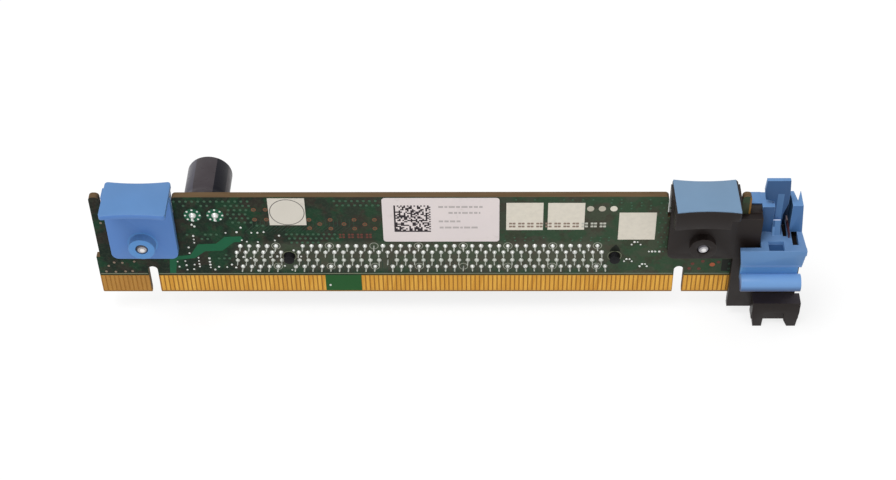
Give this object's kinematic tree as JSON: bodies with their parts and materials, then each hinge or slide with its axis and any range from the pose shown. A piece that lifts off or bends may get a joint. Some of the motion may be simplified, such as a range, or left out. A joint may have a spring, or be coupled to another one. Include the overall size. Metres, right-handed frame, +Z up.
{
  "type": "pcie riser card",
  "caption": "Server riser card: green board with a gold card edge, a card slot behind, riveted blue grips, a black guide bracket with a blue latch, capacitor and solder joints.",
  "frame": {"origin": "middle of the card edge's bottom, in the middle of the board's thickness", "axes": "+X along the board towards the guide bracket, +Y out of the component side where the card slot is, +Z up from the card edge"},
  "size_m": [0.1594, 0.022, 0.0382],
  "materials": {
    "board_mask": "green solder mask over glass laminate",
    "gold": "gold plated",
    "slot_plastic": "moulded, fine matt",
    "contact_metal": "plated spring alloy",
    "solder": "bright solder",
    "capacitor_sleeve": "shrink sleeve",
    "capacitor_rubber": "bung",
    "tinned_wire": "tinned",
    "grip_blue": "moulded, satin",
    "cap_blue": "moulded, satin, paler and greyer",
    "rivet_steel": "plated",
    "bracket_black": "moulded, satin",
    "latch_blue": "moulded, satin",
    "spring_steel": "rolled strip",
    "label_white": "coated label film",
    "chip_epoxy": "moulded",
    "ceramic_tan": "sintered, fine matt",
    "resistor_black": "glazed film on ceramic"
  },
  "bodies": {
    "root": {"pcb": "board_mask", "fingers_front": "gold", "fingers_back": "gold", "slot_housing": "slot_plastic", "slot_contacts": "contact_metal", "slot_solder_joints": "solder", "capacitor_can": "capacitor_sleeve", "capacitor_bung": "capacitor_rubber", "capacitor_leads": "tinned_wire", "capacitor_solder_joints": "solder", "left_grip": "grip_blue", "left_rivet": "rivet_steel", "guide_bracket": "bracket_black", "right_grip_cap": "cap_blue", "right_rivet": "rivet_steel", "latch": "latch_blue", "latch_spring": "spring_steel", "large_label": "label_white", "small_label": "label_white", "chip_bodies": "chip_epoxy", "chip_leads": "tinned_wire", "ceramic_capacitors": "ceramic_tan", "resistors": "resistor_black"}
  },
  "joints": []
}
